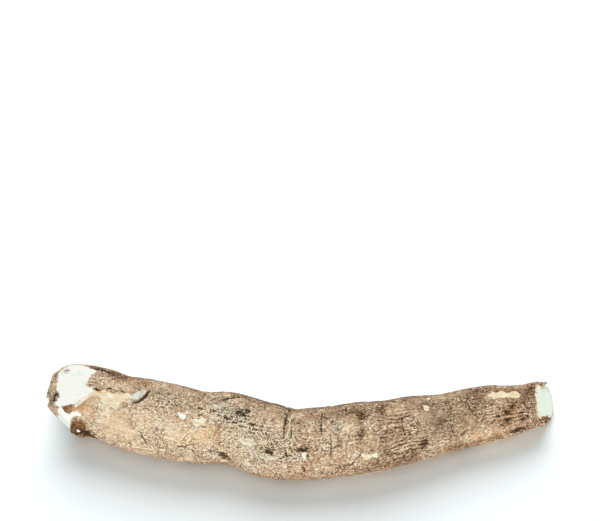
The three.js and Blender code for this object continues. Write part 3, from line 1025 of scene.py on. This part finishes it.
class Cover:
    """What lies on the skin, measured at every point: its relief, marks and tints."""

    def __init__(self, skin):
        self.skin = skin
        self.marks = marks = Marks(skin)
        self.break_rim, tail_rim = cut_rim_distance(skin, "break"), cut_rim_distance(skin, "tail")
        flesh, self.cut = flesh_distance(skin, marks, self.break_rim, tail_rim)
        self.cream, self.pale = cream_distance(skin, marks)
        self.crack, self.line = crack_depths(marks)
        self.pit, self.dark = pit_depths(skin, marks)
        self.soil = soil_cover(skin, marks)
        self.folds = fold_heights(marks)
        self.rippled, self.phase = rippled_zone(skin, marks), ripple_phase(skin, marks)
        self.relief = bark_relief(skin, self.rippled, self.phase)
        self.lips, self.lip = tail_lips(skin, marks, tail_rim)
        self.flesh = np.where(self.lip > 0.02, np.minimum(flesh, 1.2 - 6 * self.lip), flesh)
        self.tongue = marks.facing_patch(TONGUE_PLACE, TONGUE_OUTLINE)
        self.lobe = marks.facing_patch(LOBE_PLACE, LOBE_OUTLINE, LOBE_STEEPEST)
        self.smooth = np.maximum(smoothstep(-0.5, 1.2, self.tongue), smoothstep(-0.5, 1.5, self.lobe))
        self.broken = skin.cut_name == "break"

    def heights(self):
        """How far each point is moved outwards, in mm."""
        on_bark = 1 - smoothstep(-0.4, 0.6, self.flesh)
        height = self.relief * (0.12 + 0.88 * on_bark) * (1 - 0.7 * self.smooth) + self.folds
        height += peel_steps(self.skin, self.cut, self.flesh, self.cream, on_bark)
        height -= self.crack + self.pit
        crumbs = 0.5 + grid_noise(self.skin.grain, 0.7, seed=31.0)
        height += SOIL_HEIGHT * smoothstep(-0.1, 0.5, self.soil) * crumbs
        height += TONGUE_HEIGHT * smoothstep(-0.2, 2, self.tongue)
        height += LOBE_HEIGHT * smoothstep(-0.2, 3, self.lobe)
        return height + np.where(self.broken, broken_face(self.skin, self.marks, self.break_rim), 0)

    def mark_slice(self):
        """Measures the marks on the slice's plane; the soil on its rim hides the flesh."""
        u, v, holds = self.marks.tangent(SLICE_PLACE)
        torn_edge, _ = path_distance(u, v, TORN_EDGE)
        self.ash = np.where(holds & (self.cut < 0.1), 1 - smoothstep(0.9, 1.6, torn_edge), 0)
        rim_soil = 1 - oval_distance(u, v, RIM_SOIL)
        self.soil = np.where(holds, np.maximum(self.soil, rim_soil), self.soil)
        flesh = np.minimum(self.flesh, 0.8 - 3.5 * smoothstep(-0.2, 0.5, rim_soil))
        self.flesh = np.where(holds, flesh, self.flesh)
        stain = 1.2 - oval_distance(u, v, SAP_STAIN) + 0.5 * self.relief
        self.stain = smoothstep(0.1, 0.9, stain) * (self.cut > 0.5)
        self.tanned = smoothstep(0, 0.5, 1 - oval_distance(u, v, TANNED_RIM)) * holds

    def tints(self):
        """How much lighter, more ochre and greyer the bark is; painted shade and highlights are part of it.
        """
        tints = soft_ovals(self.marks, ZONES)
        lighter, ochre = tints[..., 0], tints[..., 1]
        # painted highlight: the raised folds are drawn lighter by their height; the tail's lips are drawn
        # darker
        lighter += 0.8 * self.folds - 0.7 * self.lip
        lighter += 1.3 * self.tanned
        ochre += 0.4 * self.broken
        ochre += self.tanned
        # the tongue darkens towards its tip: painted shade where it rounds over onto the flesh
        u, _, _ = self.marks.tangent(TONGUE_PLACE)
        painted_shade_at_tip = smoothstep(6, -8, u)
        lighter -= (0.1 + 0.7 * painted_shade_at_tip) * smoothstep(-0.3, 0.6, self.tongue)
        ochre += 0.4 * smoothstep(0, 2, self.tongue)
        # the lobe is a darker brown, and a painted shadow runs along its foot
        u, v, holds = self.marks.tangent(LOBE_PLACE, LOBE_STEEPEST)
        shade, _ = path_distance(u, v, LOBE_SHADE)
        shade = np.where(holds & (self.flesh < 0.2), np.exp(-(shade / 2.2) ** 2), 0)
        lighter -= 1.4 * smoothstep(-0.8, 1.2, self.lobe) + 2.0 * shade
        ochre += 0.8 * smoothstep(-0.6, 2.0, self.lobe)
        return tints

    def layers(self):
        """What the shader reads at each point."""
        self.mark_slice()
        rough = soft_ovals(self.marks, ROUGH)[..., 0] + 0.6 * self.broken + 0.5 * self.tanned
        # fine is the relief's high-pass; the shader paints it as shade in the hollows and highlight on the
        # ridges
        fine = self.relief - blur(self.relief, 3.0, 3.0)
        return {
            "grain": self.skin.grain,
            "tint": self.tints(),
            "bare": np.stack([self.cream, self.flesh, self.line], axis=2).clip(-4, 4),
            "dirt_and_relief_shade": np.stack([self.dark, self.soil, fine], axis=2),
            "kind": np.stack([self.pale, self.smooth - self.rippled, self.ash], axis=2),
            "stain": np.stack([self.stain, self.phase, rough], axis=2),
        }


def dress(skin):
    """Moves the skin's points for its relief, and gives the grids to build, with their layers."""
    cover = Cover(skin)
    flake = curled_flake(cover.marks)
    skin.points = skin.points + skin.normals * cover.heights()[..., None] + cover.lips
    skin.points[..., 2] = np.maximum(skin.points[..., 2], 0.0)
    return [(skin.points, cover.layers()), flake]


# ------------------------------ materials

FIBRE = (1.9, 0.56, 0.56)  # mm, along, across and through a fibre
TURN_TO_LENGTHWISE = (165, 215)  # mm from the thick end, where diagonal fibres give way
THIN_END = (270, 290)  # mm from the thick end, past which cut flesh is greener


def srgb(red, green, blue):
    """A colour given as on screen, 0 to 255, as linear light."""
    def linear(value):
        value /= 255
        return value / 12.92 if value <= 0.04045 else ((value + 0.055) / 1.055) ** 2.4
    return (linear(red), linear(green), linear(blue), 1.0)


class Nodes:
    """Short hand for building one material's node tree."""

    def __init__(self, material):
        material.use_nodes = True
        self.tree = material.node_tree
        self.tree.nodes.clear()

    def add(self, kind, inputs, **settings):
        """A new node; inputs has an output or a plain value for each socket that is named."""
        node = self.tree.nodes.new(kind)
        for key, value in settings.items():
            setattr(node, key, value)
        for socket, value in inputs.items():
            if isinstance(value, bpy.types.NodeSocket):
                self.tree.links.new(value, node.inputs[socket])
            else:
                node.inputs[socket].default_value = value
        return node

    def attribute(self, name):
        return self.add("ShaderNodeAttribute", {}, attribute_name=name).outputs["Vector"]

    def parts(self, vector):
        return tuple(self.add("ShaderNodeSeparateXYZ", {0: vector}).outputs)

    def math(self, operation, *values):
        return self.add("ShaderNodeMath", dict(enumerate(values)), operation=operation).outputs[0]

    def times(self, first, second):
        return self.math("MULTIPLY", first, second)

    def total(self, start, *terms):
        """The start plus each value times its weight."""
        for value, weight in terms:
            start = self.math("MULTIPLY_ADD", value, weight, start)
        return start

    def blend(self, share, first, second):
        """The first value where share is 0, the second where it is 1."""
        return self.total(first, (self.math("SUBTRACT", second, first), share))

    def noise(self, vector, scale, detail=2.0, rough=0.5, distortion=0.0, stretch=(1, 1, 1),
              shift=(0, 0, 0)):
        """Noise from about 0 to 1 at the given features per mm."""
        place = {"Vector": vector, "Scale": stretch, "Location": shift}
        if any(shift) or stretch != (1, 1, 1):
            vector = self.add("ShaderNodeMapping", place).outputs[0]
        inputs = {"Vector": vector, "Scale": scale, "Detail": detail, "Roughness": rough,
                  "Distortion": distortion}
        return self.add("ShaderNodeTexNoise", inputs, noise_dimensions="3D").outputs["Fac"]

    def ramp(self, value, low, high):
        """0 at low, 1 at high and soft in between; low may be the larger."""
        inputs = {"Value": value, "From Min": low, "From Max": high}
        node = self.add("ShaderNodeMapRange", inputs, clamp=True, interpolation_type="SMOOTHSTEP")
        return node.outputs["Result"]

    def mix(self, share, first, second, blend="MIX"):
        inputs = {"Factor": share, 6: first, 7: second}
        return self.add("ShaderNodeMix", inputs, data_type="RGBA", blend_type=blend).outputs[2]

    def colours(self, value, stops):
        """A colour ramp: stops are (place, colour as on screen)."""
        node = self.add("ShaderNodeValToRGB", {0: value})
        ramp = node.color_ramp
        for place, _ in stops[1:-1]:
            ramp.elements.new(place)
        for element, (place, colour) in zip(ramp.elements, stops):
            element.position, element.color = place, srgb(*colour)
        return node.outputs[0]

    def finish(self, shader):
        """Makes the shader the material's surface."""
        self.add("ShaderNodeOutputMaterial", {0: shader.outputs[0]})


def strokes(n, vector, scale, width, stretch, shift):
    """Thin curving strokes, about 1 on a stroke: the level lines of a noise."""
    level = n.noise(vector, scale, 1, 0.5, 1.2, stretch, shift)
    return n.ramp(n.math("ABSOLUTE", n.math("SUBTRACT", level, 0.5)), width, width * 0.25)


def hatched(n, vector, lie, shift):
    """Short fibres side by side, 0 to 1; lie is their angle to the root's length in degrees."""
    facing = Matrix.Rotation(math.radians(90 - VIEW_ELEVATION), 3, "X")
    turned = facing @ Matrix.Rotation(math.radians(lie), 3, "Z")
    place = {"Vector": vector, "Rotation": turned.to_euler(), "Scale": FIBRE, "Location": shift}
    placed = n.add("ShaderNodeMapping", place, vector_type="TEXTURE").outputs[0]
    return n.ramp(n.noise(placed, 1.0, 0), 0.36, 0.64)


def pores(n, vector, scale, shift):
    """Scattered dots, 1 inside a dot."""
    placed = n.add("ShaderNodeMapping", {"Vector": vector, "Location": shift}).outputs[0]
    cells = n.add("ShaderNodeTexVoronoi", {"Vector": placed, "Scale": scale})
    return n.ramp(cells.outputs["Distance"], 0.24, 0.12)


# Colours as on screen, 0 to 255
BARK = [(0.0, (58, 34, 17)), (0.25, (137, 102, 71)), (0.5, (203, 169, 135)), (0.7, (236, 205, 171)),
        (0.94, (255, 246, 220))]
ASHEN_PEEL = [(0.34, (206, 192, 168)), (0.46, (243, 235, 220)), (0.64, (255, 253, 246))]
INNER_BARK = [(0.30, (212, 170, 120)), (0.44, (250, 220, 176)), (0.6, (255, 244, 214))]
PALEST_INNER_BARK = [(0.32, (226, 196, 150)), (0.44, (250, 234, 198)), (0.6, (255, 253, 236))]
PATCH_RIM = srgb(92, 64, 42)
WHITE_FLESH, SAPPY_FLESH = srgb(255, 255, 250), srgb(238, 250, 236)
GREENISH_PITH, WHITE_PITH = srgb(236, 253, 236), srgb(248, 255, 243)
CORTEX, CORTEX_SPECK = srgb(255, 240, 218), srgb(176, 132, 98)
DRIED_SAP = srgb(166, 128, 98)
PIT_INSIDE, DRY_SOIL, SPLIT_INSIDE = srgb(66, 44, 26), srgb(62, 45, 30), srgb(66, 44, 27)

# What the bark's colour is multiplied by, in linear light
OCHRE_TINT = (1.0, 0.87, 0.66, 1)
GREY_TINT = (0.80, 0.88, 0.96, 1)


def bark_fibres(n, grain, lengthwise):
    """Fibres, 0 to 1: diagonal one way or the other, or lengthwise."""
    rising, falling = hatched(n, grain, 38, (3, 1, 7)), hatched(n, grain, -36, (7, 3, 1))
    which = n.ramp(n.noise(grain, 0.10, 1, shift=(2, 7, 7)), 0.46, 0.54)
    diagonal = n.blend(which, rising, falling)
    return n.blend(lengthwise, diagonal, hatched(n, grain, 4, (4, 2, 11)))


def bark_detail(n, grain, zone, texture, phase, rough):
    """The bark's fine light and dark, about 0 in the middle, with painted light and shade in bands along
    the ripples.

    Texture is 1 where the bark is smooth and -1 where it lies in ripples.
    """
    patchy = n.ramp(n.noise(grain, 0.07, shift=(5, 5, 5)), 0.40, 0.60)
    lengthwise = n.ramp(n.parts(grain)[0], *TURN_TO_LENGTHWISE)
    fibre = bark_fibres(n, grain, lengthwise)
    grit = strokes(n, grain, 0.75, 0.16, (0.8, 1.1, 1.1), (3, 9, 5))
    grit = n.blend(n.times(lengthwise, 0.4), grit, 0.5)
    pieces = n.ramp(n.noise(grain, 0.5, 0, shift=(4, 8, 6)), 0.42, 0.58)
    pale_hairs = n.times(strokes(n, grain, 0.30, 0.09, (0.6, 1.2, 1.2), (2, 7, 7)), pieces)
    dark_hairs = n.times(strokes(n, grain, 0.34, 0.07, (0.7, 1.1, 1.1), (9, 1, 4)), pieces)
    spots = n.times(pores(n, grain, 0.28, (1, 2, 3)), n.ramp(zone, 0.44, 0.54))
    # painted light and shade along the ripples: lighter and darker bands in turn with their phase
    jag = n.noise(grain, 0.5, 1, shift=(6, 2, 2))
    painted_ripple_light = n.times(n.math("SINE", n.total(phase, (jag, 2.5))), n.ramp(texture, -0.1, -0.9))
    bits = n.noise(grain, 0.95, 1, shift=(5, 1, 8))
    flecks = n.total(0.0, (n.ramp(bits, 0.58, 0.66), 0.28), (n.ramp(bits, 0.42, 0.34), -0.26))
    detail = n.total(-0.462, (fibre, 0.42), (grit, 0.40), (pale_hairs, 0.40), (dark_hairs, -0.26),
                     (spots, -0.30), (painted_ripple_light, 0.20))
    detail = n.times(detail, n.math("ADD", n.total(0.62, (patchy, 0.5)), rough))
    detail = n.total(detail, (n.times(flecks, n.ramp(rough, 0.15, 0.8)), 1.0),
                     (n.ramp(bits, 0.64, 0.74), 0.34), (n.ramp(bits, 0.36, 0.26), -0.38))
    return n.times(detail, n.total(1.0, (n.ramp(texture, 0.1, 0.9), -0.6)))


def bark_colour(n, grain, tint, fine, texture, phase, rough):
    """The mottled brown of the bark, and its detail; its value carries painted shade and highlight from the
    relief and from the zones.
    """
    light, ochre, grey = tint
    zone = n.noise(grain, 0.035, 3, 0.55)
    mottle = n.noise(grain, 0.15, stretch=(0.7, 1, 1))
    detail = bark_detail(n, grain, zone, texture, phase, rough)
    # fine paints shade into the hollows and highlight onto the ridges; light carries the zones' tone and
    # their painted shade
    value = n.total(detail, (zone, 0.6), (mottle, 0.3), (light, 0.3), (fine, 0.4))
    brown = n.colours(n.math("ADD", value, 0.07), BARK)
    ochre = n.times(n.ramp(ochre, 0.0, 1.0), n.ramp(mottle, 0.2, 0.6))
    brown = n.mix(ochre, brown, OCHRE_TINT, "MULTIPLY")
    return n.mix(n.ramp(grey, 0.0, 1.2), brown, GREY_TINT, "MULTIPLY"), detail


def with_inner_bark(n, colour, grain, cream, pale, streaks, nibble):
    """The colour with the cream inner bark where the outer peel is rubbed off."""
    inner = n.mix(pale, n.colours(streaks, INNER_BARK), n.colours(streaks, PALEST_INNER_BARK))
    cream = n.total(cream, (nibble, 1.3))
    rim = n.times(n.ramp(cream, -1.1, -0.2), n.ramp(streaks, 0.40, 0.56))
    colour = n.mix(n.times(rim, 0.35), colour, PATCH_RIM)
    return n.mix(n.ramp(cream, -0.12, 0.12), colour, inner)


def with_flesh(n, colour, grain, flesh, stain, streaks, nibble):
    """The colour with the white flesh of the cuts, and the speckled cortex along their rims."""
    cut = n.total(flesh, (nibble, 0.9))
    sap = n.noise(grain, 0.12, shift=(4, 4, 4))
    white = n.mix(n.ramp(sap, 0.45, 0.75), WHITE_FLESH, SAPPY_FLESH)
    pith = n.mix(n.ramp(streaks, 0.38, 0.62), GREENISH_PITH, WHITE_PITH)
    white = n.mix(n.ramp(n.parts(grain)[0], *THIN_END), white, pith)
    speckle = n.ramp(n.noise(grain, 0.75, 1, shift=(2, 6, 3)), 0.54, 0.60)
    white = n.mix(n.ramp(cut, 0.0, 0.9), n.mix(speckle, CORTEX, CORTEX_SPECK), white)
    white = n.mix(n.times(stain, n.ramp(streaks, 0.4, 0.55)), white, DRIED_SAP)
    return n.mix(n.ramp(cut, -0.1, 0.15), colour, white)


def with_dirt(n, colour, grain, dark, soil, line, nibble):
    """The colour with the insides of pits, crumbs of soil and the lines of splits."""
    crumbs = n.noise(grain, 0.8, 2, 0.6, shift=(8, 1, 2))
    hole = n.total(-1.3, (crumbs, 2.6), (dark, 1.0))
    colour = n.mix(n.times(n.ramp(hole, -0.05, 0.35), 0.92), colour, PIT_INSIDE)
    clod = n.total(-1.65, (n.noise(grain, 0.62, 3, 0.7), 3.5), (soil, 1.0))
    colour = n.mix(n.times(n.ramp(clod, 0.1, 0.6), 0.95), colour, DRY_SOIL)
    split = n.total(line, (nibble, 0.7))
    return n.mix(n.times(n.ramp(split, -0.45, 0.05), 0.92), colour, SPLIT_INSIDE)


def root_material():
    material = bpy.data.materials.new("cassava_bark")
    n = Nodes(material)
    grain, tint = n.attribute("grain"), n.parts(n.attribute("tint"))
    cream, flesh, line = n.parts(n.attribute("bare"))
    # dark and soil are the pits' insides and the soil; fine is painted shade and highlight from the relief
    dark, soil, fine = n.parts(n.attribute("dirt_and_relief_shade"))
    pale, texture, ash = n.parts(n.attribute("kind"))
    stain, phase, rough = n.parts(n.attribute("stain"))
    nibble = n.math("SUBTRACT", n.noise(grain, 0.9, 2, 0.6, shift=(11, 2, 6)), 0.5)
    streaks = n.noise(grain, 0.55, 2, 0.6, stretch=(0.3, 1.3, 1.3), shift=(1, 5, 9))

    colour, detail = bark_colour(n, grain, tint, fine, texture, phase, rough)
    ashen = n.noise(grain, 0.5, 2, 0.6, stretch=(0.6, 1.1, 1.1), shift=(6, 6, 1))
    colour = n.mix(n.ramp(ash, 0.2, 0.8), colour, n.colours(ashen, ASHEN_PEEL))
    colour = with_inner_bark(n, colour, grain, cream, pale, streaks, nibble)
    colour = with_flesh(n, colour, grain, flesh, stain, streaks, nibble)
    colour = with_dirt(n, colour, grain, dark, soil, line, nibble)

    height = n.times(detail, n.ramp(flesh, 0.3, -0.3))
    bump = n.add("ShaderNodeBump", {"Strength": 0.8, "Distance": 0.5 * MM, "Height": height})
    n.finish(n.add("ShaderNodeBsdfPrincipled", {
        "Base Color": colour, "Roughness": 0.85, "Specular IOR Level": 0.25,
        "Normal": bump.outputs[0]}))
    return material


# ------------------------------ floor, light, camera

FLOOR_SIDE = 12.0  # metres
FLOOR_LIGHT = srgb(205, 205, 205)  # what the floor throws back at the root
FLOOR_SEEN = (1.115, 1.185, 1.228, 1)  # white, a little cool against the brown light off the bark
SKY, SKY_STRENGTH = (0.92, 1.0, 0.95, 1), 0.20
LAMPS = [  # name, azimuth, elevation, spread, brightness on a white sheet that faces it, shadow
    ("behind_above", 90, 48, 56, 0.72, True),
    ("overhead", 270, 76, 40, 0.13, True),
    ("left_front", 236, 4, 12, 0.48, False),
    ("right_front", 314, 4, 12, 0.47, False),
]


def add_object(name, data):
    made = bpy.data.objects.new(name, data)
    bpy.context.scene.collection.objects.link(made)
    return made


def pale_floor():
    mesh = bpy.data.meshes.new("floor")
    reach = FLOOR_SIDE / 2
    corners = [(-reach, -reach, 0), (reach, -reach, 0), (reach, reach, 0), (-reach, reach, 0)]
    mesh.from_pydata(corners, [], [(0, 1, 2, 3)])
    material = bpy.data.materials.new("floor_white")
    n = Nodes(material)
    rays = n.add("ShaderNodeLightPath", {}).outputs
    seen = n.math("MAXIMUM", rays["Is Camera Ray"], rays["Is Glossy Ray"])
    seen = n.math("MAXIMUM", seen, rays["Is Transmission Ray"])
    n.finish(n.add("ShaderNodeBsdfDiffuse", {"Color": n.mix(seen, FLOOR_LIGHT, FLOOR_SEEN)}))
    mesh.materials.append(material)
    floor = add_object("floor", mesh)
    floor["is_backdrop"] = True


def sun_lamp(name, azimuth, elevation, spread, brightness, shadow):
    """A distant soft lamp; its angles are in degrees."""
    data = bpy.data.lights.new(name, "SUN")
    data.use_shadow = shadow
    data.energy = brightness * math.pi
    data.angle = math.radians(spread)
    lamp = add_object(name, data)
    flat, rise = math.radians(azimuth), math.radians(elevation)
    toward = Vector((math.cos(flat) * math.cos(rise), math.sin(flat) * math.cos(rise), math.sin(rise)))
    lamp.rotation_euler = toward.to_track_quat("Z", "Y").to_euler()


def studio_light():
    world = bpy.data.worlds.new("studio")
    bpy.context.scene.world = world
    world.use_nodes = True
    sky = world.node_tree.nodes["Background"]
    sky.inputs["Color"].default_value = SKY
    sky.inputs["Strength"].default_value = SKY_STRENGTH
    for lamp in LAMPS:
        sun_lamp(*lamp)


def camera():
    data = bpy.data.cameras.new("camera")
    data.lens = LENS
    data.sensor_width = 36.0
    data.dof.use_dof = False
    cam = add_object("camera", data)
    rise = math.radians(VIEW_ELEVATION)
    back = Vector((0, -math.cos(rise), math.sin(rise)))
    cam.location = Vector(AIM) * MM + back * CAMERA_DISTANCE
    cam.rotation_euler = (math.radians(90 - VIEW_ELEVATION + AIM_ABOVE), 0, 0)
    bpy.context.scene.camera = cam


# ------------------------------ the root

def build_root():
    mesh = grids_mesh("cassava_skin", dress(Skin("cassava_root")))
    root = add_object("cassava_skin", mesh)
    mesh.materials.append(root_material())
    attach(root, "root")
    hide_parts("cassava_root")


strew_far_marks()
build_root()
pale_floor()
studio_light()
camera()

scene = bpy.context.scene
scene.view_settings.view_transform = "Standard"

boxes = {"cad": CAD_BOX, "visual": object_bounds()}
{k: [list(low), list(high)] for k, (low, high) in boxes.items()}
